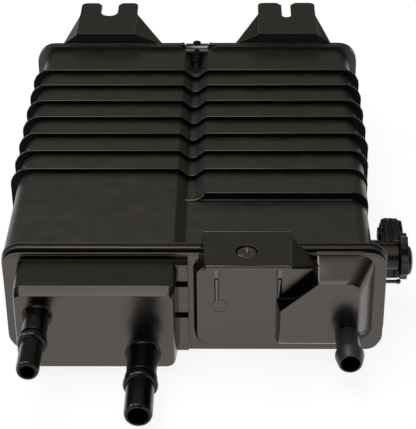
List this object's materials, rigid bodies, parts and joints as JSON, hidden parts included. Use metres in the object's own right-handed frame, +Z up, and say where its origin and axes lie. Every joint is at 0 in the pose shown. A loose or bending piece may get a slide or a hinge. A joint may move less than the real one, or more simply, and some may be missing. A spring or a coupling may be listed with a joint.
{
  "type": "charcoal canister",
  "caption": "Flat ribbed two-chamber charcoal canister with hose ports at the front, a vent valve at the side, a front mounting tab and notched tongues at the rear.",
  "frame": {"origin": "centre of the bounding box's bottom face, on the surface that the canister's ribs and flanges lie on", "axes": "+Z up through the flat housing, +Y from the ports to the notched rear tongues, +X towards the vent valve"},
  "size_m": [0.2408, 0.3858, 0.077],
  "materials": {
    "housing_plastic": "satin black moulded plastic",
    "cover_plastic": "satin black moulded plastic",
    "valve_plastic": "fine matt black",
    "carbon_pellets": "dull black pellets",
    "filter_felt": "needled felt",
    "plate_plastic": "plain moulded",
    "spring_steel": "drawn wire",
    "seal_rubber": "moulded",
    "terminal_tin": "tinned",
    "nut_steel": "dark oiled"
  },
  "bodies": {
    "root": {"canister_housing": "housing_plastic", "front_cover": "cover_plastic", "rear_cover": "cover_plastic", "main_carbon_bed": "carbon_pellets", "vent_carbon_bed": "carbon_pellets", "main_front_filter": "filter_felt", "vent_front_filter": "filter_felt", "main_rear_filter": "filter_felt", "vent_rear_filter": "filter_felt", "main_pressure_plate": "plate_plastic", "vent_pressure_plate": "plate_plastic", "main_1_spring": "spring_steel", "main_2_spring": "spring_steel", "vent_1_spring": "spring_steel", "vent_2_spring": "spring_steel", "tab_push_nut": "nut_steel", "valve_body": "valve_plastic", "valve_end_cap": "valve_plastic", "valve_seal": "seal_rubber", "valve_terminal_1": "terminal_tin", "valve_terminal_2": "terminal_tin"}
  },
  "joints": []
}
